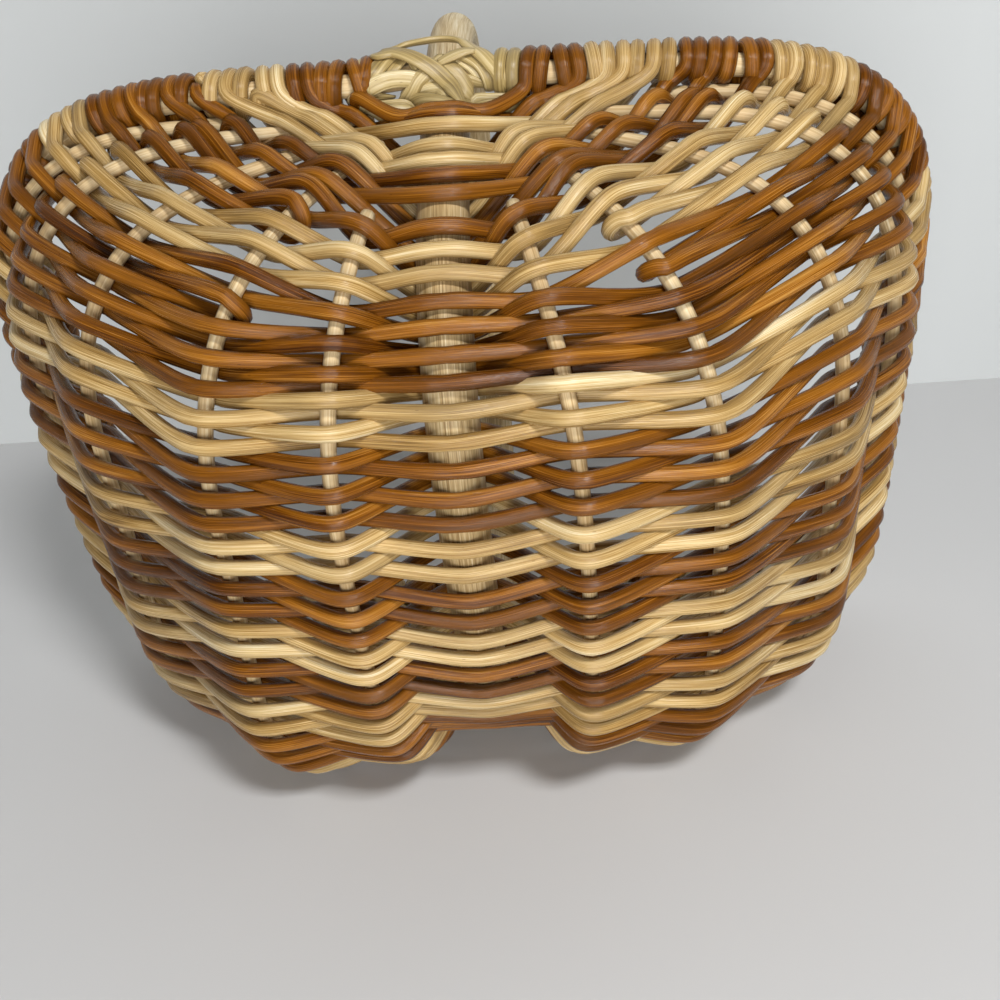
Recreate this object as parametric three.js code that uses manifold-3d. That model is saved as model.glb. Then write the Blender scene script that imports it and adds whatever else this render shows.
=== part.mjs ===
// A ribbed "buttocks" basket in rattan: a thick handle hoop crosses a thinner rim hoop at two
// lashed crossings, five ribs spring from the crossings on each side, and round reed is woven
// over and under the ribs in brown and pale bands, turning round the rim at the end of each row.
// X runs across the basket, Y from the front crossing to the back one, Z up; z = 0 is the ground.
import * as THREE from "three";
import { mergeVertices } from "three/addons/utils/BufferGeometryUtils.js";
import Module from "manifold-3d";

// Driving dimensions, in millimetres. The reed is 2 x REED_RADIUS thick and 2 x REED_SIDE wide.
const RIM_HALF_WIDTH = 170;
const RIM_HALF_LENGTH = 137.3;
const RIM_RADIUS = 4;
const POLE_RADIUS = 8.5;
const ARCH_HEIGHT = 158;
// The handle hoop passes inside the rim hoop with this gap, and the ribs end beside it.
const HOOP_GAP = 0.3;
const POLE_HALF_LENGTH = RIM_HALF_LENGTH - RIM_RADIUS - HOOP_GAP - POLE_RADIUS;
const RIB_HALF_LENGTH = POLE_HALF_LENGTH + 8;
const RIB_TIP_HALF_LENGTH = POLE_HALF_LENGTH + 2.5;
// Each lobe hangs from its first rib, and the spine lies higher between the lobes. The rim is
// as high over the ground as the lobes are deep, with the reed that covers them, to 0.1 mm.
const LOBE_DEPTH = 150;
const LOBE_ANGLE = 15.1;
const LOBE_COVER = 6.4;
const SPINE_RISE = 16;
const RIM_HEIGHT = Math.round(10 * (LOBE_DEPTH * Math.cos((LOBE_ANGLE * Math.PI) / 180) + LOBE_COVER)) / 10;
const RIB_RADIUS = 2.5;
const RIB_TIP_RADIUS = 1.3;
const RIB_TAPER = [26, 60];
const REED_RADIUS = 2.1;
const REED_SIDE = 2.5;
const REED_LEAST = 1.5;
const REED_CLEARANCE = 0.35;
const WRAP_RADIUS = RIM_RADIUS + REED_RADIUS + 1.6;
const CANE_WIDTH = 4.6;
const CANE_THICKNESS = 1.8;
const FAN_LENGTH = 130;

// Woven rows between the two crossings, and the rows of each colour band in order.
const BANDS = [
  ["brown", 4], ["pale", 6], ["brown", 6], ["pale", 4], ["brown", 7],
  ["pale", 4], ["brown", 6], ["pale", 4], ["brown", 5], ["pale", 4],
  ["brown", 4], ["pale", 4], ["brown", 5], ["pale", 4], ["brown", 4],
  ["pale", 4], ["brown", 4], ["pale", 4], ["brown", 3],
];
const ROWS = BANDS.reduce((sum, band) => sum + band[1], 0);
// The row from either end at which each rib joins the weave, spine first. The rest are added as
// the space between them widens.
const JOINS = [0, 14, 6, 10, 2, 10];
// Rows before which a short row runs in from the rim, turns round the second rib and returns.
const LEFT_FILLS = [16, 22];
const RIGHT_FILLS = [19, 21];
const FILL_RIB = 2;
// The rows whose places along each frame curve are its marks.
const MARK_ROWS = [0, 10, 20, 31, 41, 50];

// The frame from the spine (the lower half of the handle hoop) out to the rim. angle: from
// straight down at the middle; fan: the same at the crossing; reach: distance from the line
// between the crossings; near and far: how square the curve is at each end; marks: where the
// mark rows begin along the curve; last: the distance left after the last row, if not the first.
const FRAME = [
  { angle: 0, fan: 0, reach: LOBE_DEPTH - SPINE_RISE, near: [0.53, 0.51], far: [0.95, 0.95], marks: [18.5, 57.5, 102, 146, 194.5, 235], last: 22.5 },
  { angle: LOBE_ANGLE, fan: 20, reach: LOBE_DEPTH, near: [0.58, 0.43], far: [0.69, 0.95], marks: [18, 62, 112.5, 157.5, 207.5, 265] },
  { angle: 33, fan: 34, reach: LOBE_DEPTH + 4, near: [0.6, 0.38], far: [0.43, 0.88], marks: [18, 54, 112.5, 171, 218, 266] },
  { angle: 57.1, fan: 50, reach: LOBE_DEPTH + 6, near: [0.59, 0.35], far: [0.32, 0.78], marks: [20, 60.5, 120, 180, 245, 301] },
  { angle: 74, fan: 62, reach: RIM_HALF_WIDTH - 6, near: [0.56, 0.35], far: [0.3, 0.66], marks: [21, 67, 133, 199, 258, 312] },
  { angle: 84, fan: 74.5, reach: RIM_HALF_WIDTH + 2, near: [0.5, 0.37], far: [0.33, 0.52], marks: [23, 74, 140, 205, 262, 317] },
  { angle: 90, fan: 90, reach: RIM_HALF_WIDTH, near: [0.42, 0.41], far: [0.36, 0.42], marks: [27, 80, 140, 205, 263, 320] },
];
const RIM = 6;
const CURVE_STEPS = 240;

const BROWN = new THREE.MeshStandardMaterial({ color: 0x9c5a24, roughness: 0.42, metalness: 0 });
const PALE = new THREE.MeshStandardMaterial({ color: 0xcfa96b, roughness: 0.45, metalness: 0 });
const POLE = new THREE.MeshStandardMaterial({ color: 0xd0b584, roughness: 0.6, metalness: 0 });
const RIB = new THREE.MeshStandardMaterial({ color: 0xd6bb8a, roughness: 0.6, metalness: 0 });
const CANE = new THREE.MeshStandardMaterial({ color: 0xbf9f5e, roughness: 0.45, metalness: 0 });

const wasm = await Module();
wasm.setup();

const vec = (x, y, z) => new THREE.Vector3(x, y, z);
const smooth = (x) => {
  const t = Math.min(Math.max(x, 0), 1);
  return t * t * (3 - 2 * t);
};

// Points at equal steps along a polyline.
function resample(points, steps) {
  const along = [0];
  for (let i = 1; i < points.length; i++) {
    along.push(along[i - 1] + points[i].distanceTo(points[i - 1]));
  }
  const total = along[along.length - 1];
  const out = [];
  let j = 1;
  for (let i = 0; i <= steps; i++) {
    const s = (total * i) / steps;
    while (j < points.length - 1 && along[j] < s) j++;
    const f = (s - along[j - 1]) / Math.max(along[j] - along[j - 1], 1e-9);
    out.push(points[j - 1].clone().lerp(points[j], Math.min(Math.max(f, 0), 1)));
  }
  return out;
}

// One curve of the frame from the front crossing to the back one: a half superellipse whose
// plane swings from its fan angle at the crossings to its own angle at the middle.
function frameCurve(index, side) {
  const guide = FRAME[index];
  const half = index === 0 ? POLE_HALF_LENGTH : index === RIM ? RIM_HALF_LENGTH : RIB_HALF_LENGTH;
  const raw = [];
  for (let i = 0; i <= 400; i++) {
    const x = i / 200;
    const u = x <= 1 ? x : 2 - x;
    const t = (Math.PI / 2) * (u ** 3 / (u ** 3 + (1 - u) ** 3));
    const [a, b] = x <= 1 ? guide.near : guide.far;
    const r = guide.reach * Math.sin(t) ** b;
    const edge = r + half * (1 - Math.cos(t) ** a);
    const blend = smooth(edge / FAN_LENGTH);
    const tip = index > 0 && index < RIM ? (RIB_HALF_LENGTH - RIB_TIP_HALF_LENGTH) * (1 - blend) : 0;
    const y = -Math.sign(1 - x) * (half - tip) * Math.cos(t) ** a;
    const angle = THREE.MathUtils.degToRad(guide.fan + (guide.angle - guide.fan) * blend);
    raw.push(vec(side * r * Math.sin(angle), y, RIM_HEIGHT - r * Math.cos(angle)));
  }
  let curve = resample(raw, CURVE_STEPS);
  for (let pass = 0; pass < 60; pass++) {
    const next = curve.map((p) => p.clone());
    for (let i = 1; i < curve.length - 1; i++) {
      next[i].add(curve[i - 1]).add(curve[i]).add(curve[i + 1]).multiplyScalar(0.25);
    }
    curve = next;
  }
  return curve;
}

const curves = {};
for (let k = -RIM; k <= RIM; k++) {
  const points = frameCurve(Math.abs(k), Math.sign(k) || 1);
  let length = 0;
  for (let i = 1; i < points.length; i++) length += points[i].distanceTo(points[i - 1]);
  curves[k] = { points, length };
}

function at(k, s) {
  const { points, length } = curves[k];
  const f = Math.min(Math.max(s / length, 0), 1) * CURVE_STEPS;
  const i = Math.min(Math.floor(f), CURVE_STEPS - 1);
  return points[i].clone().lerp(points[i + 1], f - i);
}

function tangent(k, s) {
  return at(k, s + 3).sub(at(k, s - 3)).normalize();
}

// Places along a frame curve, closer together where it bends.
function stops(k, from, to, steps) {
  const fine = 400;
  const sum = [0];
  for (let i = 1; i <= fine; i++) {
    const s = from + ((to - from) * (i - 0.5)) / fine;
    const bend = tangent(k, s - 2).angleTo(tangent(k, s + 2)) / 4;
    sum.push(sum[i - 1] + (to - from) / fine * (1 / (to - from) + bend / Math.PI));
  }
  const out = [];
  let j = 0;
  for (let i = 0; i <= steps; i++) {
    const goal = (sum[fine] * i) / steps;
    while (j < fine && sum[j] < goal - 1e-9) j++;
    out.push(from + ((to - from) * j) / fine);
  }
  return out;
}

// A closed tube through the points. Each point has a hint for the direction of the section's
// first corner; radii gives the half sizes of the section towards that corner and across it.
function tube(points, hints, sides, radii, closed = false) {
  const count = points.length;
  const position = [];
  for (let i = 0; i < count; i++) {
    const before = points[closed ? (i + count - 1) % count : Math.max(i - 1, 0)];
    const after = points[closed ? (i + 1) % count : Math.min(i + 1, count - 1)];
    const along = after.clone().sub(before).normalize();
    const first = hints[i].clone().addScaledVector(along, -hints[i].dot(along)).normalize();
    const second = along.clone().cross(first);
    const [rn, rv] = radii(i);
    for (let j = 0; j < sides; j++) {
      const angle = (2 * Math.PI * j) / sides;
      const p = points[i].clone();
      p.addScaledVector(first, rn * Math.cos(angle));
      p.addScaledVector(second, rv * Math.sin(angle));
      position.push(p.x, p.y, p.z);
    }
  }
  const index = [];
  for (let i = 0; i < (closed ? count : count - 1); i++) {
    const next = (i + 1) % count;
    for (let j = 0; j < sides; j++) {
      const a = i * sides + j;
      const b = i * sides + ((j + 1) % sides);
      const c = next * sides + ((j + 1) % sides);
      const d = next * sides + j;
      index.push(a, b, c, a, c, d);
    }
  }
  if (!closed) {
    const last = (count - 1) * sides;
    for (let j = 1; j < sides - 1; j++) {
      index.push(0, j + 1, j);
      index.push(last, last + j, last + j + 1);
    }
  }
  const geometry = new THREE.BufferGeometry();
  geometry.setAttribute("position", new THREE.Float32BufferAttribute(position, 3));
  geometry.setIndex(index);
  return geometry;
}

const basket = new THREE.Group();

function add(name, geometry, material) {
  const mesh = new THREE.Mesh(geometry, material);
  mesh.name = name;
  basket.add(mesh);
}

// Rows as each side of the basket counts them, with the short rows put in.
const fills = { "-1": LEFT_FILLS, 1: RIGHT_FILLS };
const sideOrder = (row, side) => row + 2 * fills[side].filter((r) => r <= row).length;

// The place along a frame curve where a number of rows, whole or not, is reached.
function rowPlace(k, order) {
  const { marks, last = marks[0] } = FRAME[Math.abs(k)];
  const counted = (row) => (Math.abs(k) < FILL_RIB ? row : sideOrder(row, Math.sign(k)));
  const orders = MARK_ROWS.map(counted).concat(counted(ROWS));
  const places = marks.concat(curves[k].length - last);
  let i = 0;
  while (i < orders.length - 2 && order > orders[i + 1]) i++;
  return places[i] + ((places[i + 1] - places[i]) * (order - orders[i])) / (orders[i + 1] - orders[i]);
}

const pitchAt = (k, order) => rowPlace(k, order + 1) - rowPlace(k, order);

// The ribs of one side, or the pole, that a row crosses.
const fromEnd = (row) => Math.min(row, ROWS - 1 - row);
const ribsOf = (row) => [0, 1, 2, 3, 4, 5].filter((rib) => fromEnd(row) >= JOINS[rib]);

// True where the row passes outside the rib: every other rib, and every other row.
const outside = (k, row, order) => (order + ribsOf(row).indexOf(Math.abs(k))) % 2 === 0;

function outward(k, s) {
  const inner = k === 0 ? at(-1, s) : at(k - Math.sign(k), s);
  const outer = k === 0 ? at(1, s) : at(Math.abs(k) === RIM ? k : k + Math.sign(k), s);
  const across = outer.sub(inner);
  const normal = tangent(k, s).cross(across).normalize();
  const from = at(k, s).sub(vec(0, 0, RIM_HEIGHT - 40));
  if (normal.dot(from) < 0) normal.negate();
  return normal;
}

function ribRadius(k, s) {
  if (k === 0) return POLE_RADIUS;
  const in_ = Math.min(s, curves[k].length - s) - RIB_TAPER[0];
  return RIB_TIP_RADIUS + (RIB_RADIUS - RIB_TIP_RADIUS) * smooth(in_ / RIB_TAPER[1]);
}

// The crossing of a row with one member of the frame, at the front or the back of it.
function crossing(k, row, order) {
  const s = rowPlace(k, order + 0.5);
  const normal = outward(k, s);
  const sign = outside(k, row, order) ? 1 : -1;
  return { k, s, normal, sign, centre: at(k, s), radius: ribRadius(k, s), pitch: pitchAt(k, order) };
}

// Half the width of the reed where its rows lie this far apart.
const halfWidth = (apart) => Math.min(REED_SIDE, Math.max(apart / 2 - 0.3, REED_LEAST));

// How far to each side of the pole a row bends round it where it leaves steeply.
const STEEP_STEP = 9.4;

// Adds a run of crossings to a strand, each pushed off its rib far enough for the slope there.
function pushRun(strand, run, direction = 1) {
  const side = (i) => run[Math.min(Math.max(i, 0), run.length - 1)];
  run.forEach((c, i) => {
    c.across = run.length > 1 ? side(i + 1).centre.clone().sub(side(i - 1).centre) : vec(direction, 0, 0);
    c.across.addScaledVector(c.normal, -c.across.dot(c.normal)).normalize();
    const apart = c.pitch * c.across.clone().cross(tangent(c.k, c.s)).length();
    c.side = halfWidth(apart);
    c.base = c.radius + REED_RADIUS + REED_CLEARANCE + (c.k === 0 ? 0.5 : 0);
    c.offset = c.base;
  });
  const place = (c, step) => {
    const p = c.centre.clone().addScaledVector(c.across, step);
    return p.addScaledVector(c.normal, c.sign * c.offset);
  };
  for (let pass = 0; pass < 4; pass++) {
    run.forEach((c, i) => {
      if (c.k === 0) return;
      let steepest = 0;
      for (const j of [i - 1, i + 1]) {
        if (j < 0 || j >= run.length) continue;
        const step = run[j].k === 0 ? (j < i ? 5 : -5) : 0;
        const line = place(run[j], step).sub(place(c, 0));
        const slope = Math.abs(line.dot(c.normal)) / Math.max(Math.abs(line.dot(c.across)), 1);
        steepest = Math.max(steepest, slope);
      }
      c.offset = Math.min(c.base * Math.hypot(1, steepest), c.base + 4);
    });
  }
  const hintSign = run[0].sign;
  run.forEach((c, i) => {
    let steps = [0];
    if (c.k === 0) {
      const steep = [i - 1, i + 1].some((j) => {
        if (!run[j]) return false;
        const line = run[j].centre.clone().sub(c.centre);
        const rise = line.dot(c.normal) + run[j].sign * run[j].offset - c.sign * c.offset;
        return Math.abs(rise) > 0.65 * Math.abs(line.dot(c.across));
      });
      steps = steep ? [-STEEP_STEP, 0, STEEP_STEP] : [-5, 5];
    }
    for (const step of steps) {
      const p = place(c, step);
      if (steps.length === 3) p.addScaledVector(c.normal, c.sign * (step === 0 ? 0.6 : -3.4));
      strand.points.push(p);
      strand.hints.push(c.normal.clone().multiplyScalar(hintSign));
      strand.sides.push(c.side);
    }
  });
}

// The turns round the rim from one row to the next: one and a half, or one where the next row
// meets the first rib on the same side as the last did.
function pushRimTurn(strand, side, order, fromOutside, toOutside, before = 0.25, after = 0.25) {
  const k = side * RIM;
  const s0 = rowPlace(k, order + 0.5 - before);
  const s1 = rowPlace(k, order + 1.5 + after);
  const sweep = fromOutside === toOutside ? 360 : 570;
  const steps = fromOutside === toOutside ? 6 : 8;
  for (let i = 0; i <= steps; i++) {
    const f = i / steps;
    const s = s0 + (s1 - s0) * f;
    const turn = fromOutside ? -15 + sweep * f : 195 - sweep * f;
    const angle = THREE.MathUtils.degToRad(turn);
    const along = tangent(k, s);
    const up = at(k, s).sub(at(k - side, s));
    up.addScaledVector(along, -up.dot(along)).normalize();
    const out = along.clone().cross(up).normalize();
    if (out.dot(at(k, s).sub(vec(0, 0, RIM_HEIGHT))) < 0) out.negate();
    const radial = out.multiplyScalar(Math.cos(angle)).addScaledVector(up, Math.sin(angle));
    strand.points.push(at(k, s).addScaledVector(radial, WRAP_RADIUS));
    strand.hints.push(radial);
    strand.sides.push(halfWidth(pitchAt(k, order)));
  }
}

// A half turn round the rib where a short row goes back.
function pushRibTurn(strand, side, row, order) {
  const k = side * FILL_RIB;
  const s0 = rowPlace(k, order + 0.5);
  const s1 = rowPlace(k, order + 1.5);
  const from = outside(k, row, order) ? 1 : -1;
  for (let i = 1; i <= 3; i++) {
    const angle = (Math.PI * i) / 4;
    const s = s0 + ((s1 - s0) * i) / 4;
    const normal = outward(k, s);
    const inward = at(k - side, s).sub(at(k, s));
    inward.addScaledVector(normal, -inward.dot(normal)).normalize();
    const radial = normal.multiplyScalar(from * Math.cos(angle));
    radial.addScaledVector(inward, Math.sin(angle));
    const reach = ribRadius(k, s) + REED_RADIUS + 0.6;
    strand.points.push(at(k, s).addScaledVector(radial, reach));
    strand.hints.push(radial.negate());
    strand.sides.push(REED_LEAST);
  }
}

// A short row and its return, on one side, starting after the rim turn that leads into it.
function pushFill(strand, side, row, order) {
  const ribs = [5, 4, 3, 2];
  const run = (o) => ribs.map((rib) => crossing(side * rib, row, o));
  const there = run(order);
  const back = run(order + 1).reverse();
  pushRun(strand, there);
  pushRibTurn(strand, side, row, order);
  const last = strand.hints.length;
  pushRun(strand, back);
  for (let i = last; i < strand.hints.length; i++) {
    strand.hints[i].multiplyScalar(back[0].sign * back[3].sign);
  }
  pushRimTurn(strand, side, order + 1, back[3].sign > 0, back[3].sign < 0);
}

function lastRibOutside(row, side) {
  const rib = ribsOf(row).pop();
  return outside(side * rib, row, rib === 0 ? row : sideOrder(row, side));
}

// The strand of one colour band: its rows with the turn after each.
function bandStrand(firstRow, rows) {
  const strand = { points: [], hints: [], sides: [] };
  for (let row = firstRow; row < firstRow + rows; row++) {
    const direction = row % 2 === 0 ? 1 : -1;
    const ribs = ribsOf(row);
    const ks = ribs.slice(1).reverse().map((rib) => -rib * direction).concat(ribs.map((rib) => rib * direction));
    const run = ks.map((k) => crossing(k, row, Math.abs(k) < FILL_RIB ? row : sideOrder(row, Math.sign(k))));
    pushRun(strand, run, direction);
    if (row === ROWS - 1) break;
    const side = direction;
    const order = sideOrder(row, side);
    const from = run[run.length - 1].sign > 0;
    const to = lastRibOutside(row + 1, side);
    const filled = fills[side].includes(row + 1);
    const same = (a, b) => ribsOf(a).length === ribsOf(b).length;
    const before = same(row, row - 1) ? 0.25 : 0;
    const after = same(row + 1, row + 2) ? 0.25 : 0;
    pushRimTurn(strand, side, order, from, filled ? !from : to, before, after);
    if (filled) pushFill(strand, side, row + 1, order + 1);
  }
  return strand;
}

function solidOf(geometry) {
  const merged = mergeVertices(geometry, 1e-4);
  const mesh = new wasm.Mesh({
    numProp: 3,
    vertProperties: Float32Array.from(merged.attributes.position.array),
    triVerts: Uint32Array.from(merged.index.array),
  });
  return new wasm.Manifold(mesh);
}

function geometryOf(solid) {
  const mesh = solid.getMesh();
  const geometry = new THREE.BufferGeometry();
  geometry.setAttribute("position", new THREE.BufferAttribute(mesh.vertProperties, 3));
  geometry.setIndex(new THREE.BufferAttribute(mesh.triVerts, 1));
  return geometry;
}

// The reed is cut flat where the basket stands.
const ground = new THREE.BoxGeometry(400, 400, 40).translate(0, 0, -20);
ground.deleteAttribute("normal");
ground.deleteAttribute("uv");
const groundSolid = solidOf(ground);

let firstRow = 0;
BANDS.forEach(([colour, rows], i) => {
  const strand = bandStrand(firstRow, rows);
  let geometry = tube(strand.points, strand.hints, 4, (n) => [REED_RADIUS, strand.sides[n]]);
  geometry.computeBoundingBox();
  if (geometry.boundingBox.min.z < 0) {
    geometry = geometryOf(solidOf(geometry).subtract(groundSolid));
  }
  const name = `weave_${colour}_${String(i + 1).padStart(2, "0")}`;
  add(name, geometry, colour === "brown" ? BROWN : PALE);
  firstRow += rows;
});

// The ribs, tapering to tips that stop short of the lashing.
for (const side of [-1, 1]) {
  for (let rib = 1; rib <= 5; rib++) {
    const k = side * rib;
    const count = (row) => (rib < FILL_RIB ? row : sideOrder(row, side));
    const from = rowPlace(k, count(JOINS[rib]) - 0.1);
    const to = rowPlace(k, count(ROWS - 1 - JOINS[rib]) + 0.85);
    const points = [];
    const hints = [];
    const radii = [];
    for (const s of stops(k, from, to, 18)) {
      points.push(at(k, s));
      hints.push(outward(k, s));
      radii.push(ribRadius(k, s));
    }
    add(`rib_${side < 0 ? "left" : "right"}_${rib}`, tube(points, hints, 5, (i) => [radii[i], radii[i]]), RIB);
  }
}

// The rim hoop, outside the handle hoop at both crossings.
{
  const places = stops(RIM, 0, curves[RIM].length, 30);
  const right = places.map((s) => at(RIM, s));
  const left = places.slice(1, -1).reverse().map((s) => at(-RIM, s));
  const points = right.concat(left);
  const hints = points.map(() => vec(0, 0, 1));
  add("rim_hoop", tube(points, hints, 6, () => [RIM_RADIUS, RIM_RADIUS], true), RIB);
}

const archPoint = (t) =>
  vec(0, POLE_HALF_LENGTH * Math.cos(t), RIM_HEIGHT + ARCH_HEIGHT * Math.sin(t));

// The handle hoop: the spine below the rim and the arch above it, in one pole.
{
  const points = stops(0, 0, curves[0].length, 24).slice(1, -1).map((s) => at(0, s));
  const steps = 22;
  for (let i = 0; i <= steps; i++) points.push(archPoint((Math.PI * i) / steps));
  const hints = points.map(() => vec(1, 0, 0));
  add("handle_hoop", tube(points, hints, 8, () => [POLE_RADIUS, POLE_RADIUS], true), POLE);
}

// The lashing of one crossing: crossed rings of cane round both hoops, two leaning each way, and
// turns of cane round the rim on either side, joined into one body.
const RING_LEAN = 42;
const RING_SPACING = 5;
const RING_LIFT = 1.5;
const RING_STEPS = 12;
const ARM_TURNS = 2.75;
const ARM_FROM = 21.5;
const ARM_TO = 6.4;

// How far out the pole's axis lies, at a height above or below the rim.
function poleY(z, end) {
  if (z >= 0) return archPoint(Math.asin(z / ARCH_HEIGHT)).y;
  const spine = curves[0].points;
  const range = end < 0 ? spine : spine.slice().reverse();
  return Math.abs(range.find((p) => p.z <= RIM_HEIGHT + z).y);
}

// A ring in a leaning plane, drawn tight round the pole and the rim.
function lashingRing(end, side, place, lift) {
  const lean = THREE.MathUtils.degToRad(RING_LEAN);
  const loose = CANE_THICKNESS / 2 + 0.55 + lift;
  const round = 1 / Math.cos(Math.PI / RING_STEPS);
  const pole = { s: place * Math.tan(lean), y: POLE_HALF_LENGTH, half: (POLE_RADIUS + loose) / Math.cos(lean) };
  const rim = { s: -place / Math.tan(lean), y: RIM_HALF_LENGTH, half: (RIM_RADIUS + loose) / Math.sin(lean) };
  pole.deep = POLE_RADIUS + loose;
  rim.deep = RIM_RADIUS + loose;
  const points = [];
  const hints = [];
  for (let i = 0; i < RING_STEPS; i++) {
    const angle = (2 * Math.PI * (i + 0.5)) / RING_STEPS;
    const c = Math.cos(angle);
    const d = Math.sin(angle);
    const found = [pole, rim].map((o) => {
      const size = Math.hypot(o.half * c, o.deep * d);
      return { o, size, support: o.s * c + o.y * d + size };
    });
    const { o, size } = found[0].support > found[1].support ? found[0] : found[1];
    const s = o.s + (round * o.half * o.half * c) / size;
    const x = -place * Math.sin(lean) + s * Math.cos(lean);
    const z = place * Math.cos(lean) + s * Math.sin(lean);
    const shift = o === pole ? poleY(z, end) - POLE_HALF_LENGTH : 0;
    const y = o.y + (round * o.deep * o.deep * d) / size + shift;
    points.push(vec(side * x, end * y, RIM_HEIGHT + z));
    hints.push(vec(side * c * Math.cos(lean), end * d, c * Math.sin(lean)));
  }
  return tube(points, hints, 4, () => [CANE_THICKNESS / 2, CANE_WIDTH / 2], true);
}

// Turns round the rim beside the crossing, ending on its outer face.
function lashingArm(end, side) {
  const points = [];
  const hints = [];
  const steps = Math.round(ARM_TURNS * 6);
  for (let i = 0; i <= steps; i++) {
    const f = i / steps;
    const angle = -2 * Math.PI * ARM_TURNS * (1 - f);
    const x = ARM_FROM + (ARM_TO - ARM_FROM) * f;
    const radial = vec(0, end * Math.cos(angle), Math.sin(angle));
    points.push(vec(side * x, end * RIM_HALF_LENGTH, RIM_HEIGHT).addScaledVector(radial, RIM_RADIUS + 2.15));
    hints.push(radial);
  }
  return tube(points, hints, 4, () => [CANE_THICKNESS / 2, CANE_WIDTH / 2]);
}

function lashing(end) {
  const place = RING_SPACING / 2;
  const strands = [
    lashingRing(end, 1, -place, 0),
    lashingRing(end, 1, place, 0),
    lashingRing(end, -1, -place, RING_LIFT),
    lashingRing(end, -1, place, RING_LIFT),
    lashingArm(end, -1),
    lashingArm(end, 1),
  ];
  const joined = strands.map(solidOf).reduce((sum, solid) => sum.add(solid));
  return geometryOf(joined);
}

add("lashing_front", lashing(-1), CANE);
add("lashing_back", lashing(1), CANE);

export default basket;
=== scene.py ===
import math
import random

import bpy
import numpy as np
from mathutils import Matrix, Vector


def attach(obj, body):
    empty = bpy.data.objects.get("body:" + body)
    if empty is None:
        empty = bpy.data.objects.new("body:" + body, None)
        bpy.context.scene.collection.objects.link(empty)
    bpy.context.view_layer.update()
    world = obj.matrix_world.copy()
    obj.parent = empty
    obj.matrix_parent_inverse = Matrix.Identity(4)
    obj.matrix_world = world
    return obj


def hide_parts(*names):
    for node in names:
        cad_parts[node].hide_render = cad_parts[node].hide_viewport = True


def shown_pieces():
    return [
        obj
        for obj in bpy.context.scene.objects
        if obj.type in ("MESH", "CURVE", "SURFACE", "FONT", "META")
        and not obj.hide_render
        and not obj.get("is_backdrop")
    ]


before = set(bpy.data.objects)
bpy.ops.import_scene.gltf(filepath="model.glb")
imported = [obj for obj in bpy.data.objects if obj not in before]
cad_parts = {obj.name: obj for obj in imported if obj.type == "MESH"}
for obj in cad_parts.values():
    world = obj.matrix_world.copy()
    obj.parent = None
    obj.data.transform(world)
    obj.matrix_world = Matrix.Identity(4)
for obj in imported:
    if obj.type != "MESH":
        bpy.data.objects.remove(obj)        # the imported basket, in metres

random.seed(11)
mm = 0.001
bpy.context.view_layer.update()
print("stage: frame loaded,", len(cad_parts), "nodes")


# Camera, set where the photograph was taken: below the basket's front, looking up at its underside.
cameraSetup = {
    "place": (30.38 * mm, -330.70 * mm, -256.86 * mm),
    "right": (0.99695, 0.07718, -0.01122),
    "down": (-0.06269, 0.70746, -0.70396),
    "forward": (-0.04639, 0.70252, 0.71015),
    "focalPixels": 1233.2,  # for a frame 1000 pixels wide
}


def addCamera(setup):
    data = bpy.data.cameras.new("photoCamera")
    data.sensor_width = 36
    data.lens = 36 * setup["focalPixels"] / 1000
    data.clip_start = 0.01
    camera = bpy.data.objects.new("photoCamera", data)
    bpy.context.scene.collection.objects.link(camera)
    right, down, forward = (Vector(setup[k]).normalized() for k in ("right", "down", "forward"))
    turn = Matrix((right, -down, -forward)).transposed().to_4x4()
    camera.matrix_world = Matrix.Translation(setup["place"]) @ turn
    bpy.context.scene.camera = camera


addCamera(cameraSetup)

# The basket's own measures, in millimetres. Ribs are numbered from the spine (0) out to the rim (6),
# negative on the left.
hoops = {
    "rimHalfWidth": 170, "rimHalfLength": 137.3, "rimRadius": 4, "rimHeight": 151.2,
    "poleHalfLength": 124.5, "poleRadius": 8.5, "archHeight": 158, "archSquareness": 0.83,
    "ribHalfLength": 132.5, "ribTipHalfLength": 127, "fanLength": 130, "rounding": 60,
}
ribs = {"radius": 2.5, "tipRadius": 1.3, "taperFrom": 26, "taper": 60}
reed = {
    "radius": 2.7, "least": 2.35, "spread": 0.07, "swell": 0.03, "endTaper": (0.6, 0.85, 0.97),
    "clearance": 0.05, "turnGap": 0.15, "rowGap": 0.12, "dipShare": 0.6, "spacing": 2.2, "wander": 0.22,
    # how far it lies to either side of what it passes, and its drop there
    "poleStep": (5, 0.45), "ribStep": (2.3, 0.2), "loneStep": (14, 2.6),
    "bow": (0.1, 0.1, 0.35, 0.6, 0.6, 0.5),     # at each rib
    "leaveAt": 0.88, "takeUpAt": 0.94,    # share of a rim turn where one colour ends and the next begins
}
rimTurn = {
    "radius": 6.75, "sameSide": 720, "otherSide": 570, "step": 30, "lean": 15,      # angles in degrees
    "tops": ((105, 0.52), (465, 1.48)),     # turn and row where the reed lies on top of the rim
    "share": 0.25, "first": (-0.8, 0.1),    # rows taken before and after the turn
}
guides = [  # angle at the middle, angle at the crossing, reach, squareness near and far, last
    (0, 0, 134, (0.53, 0.51), (0.95, 0.95), 22.5),
    (15.1, 20, 150, (0.58, 0.43), (0.69, 0.95), 18),
    (33, 34, 154, (0.6, 0.38), (0.43, 0.88), 18),
    (57.1, 50, 156, (0.59, 0.35), (0.32, 0.78), 20),
    (74, 62, 164, (0.56, 0.35), (0.3, 0.66), 21),
    (84, 74.5, 172, (0.5, 0.37), (0.33, 0.52), 23),
    (90, 90, hoops["rimHalfWidth"], (0.42, 0.41), (0.36, 0.42), 27),
]
markRows = [0, 10, 20, 31, 41, 50]
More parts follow.
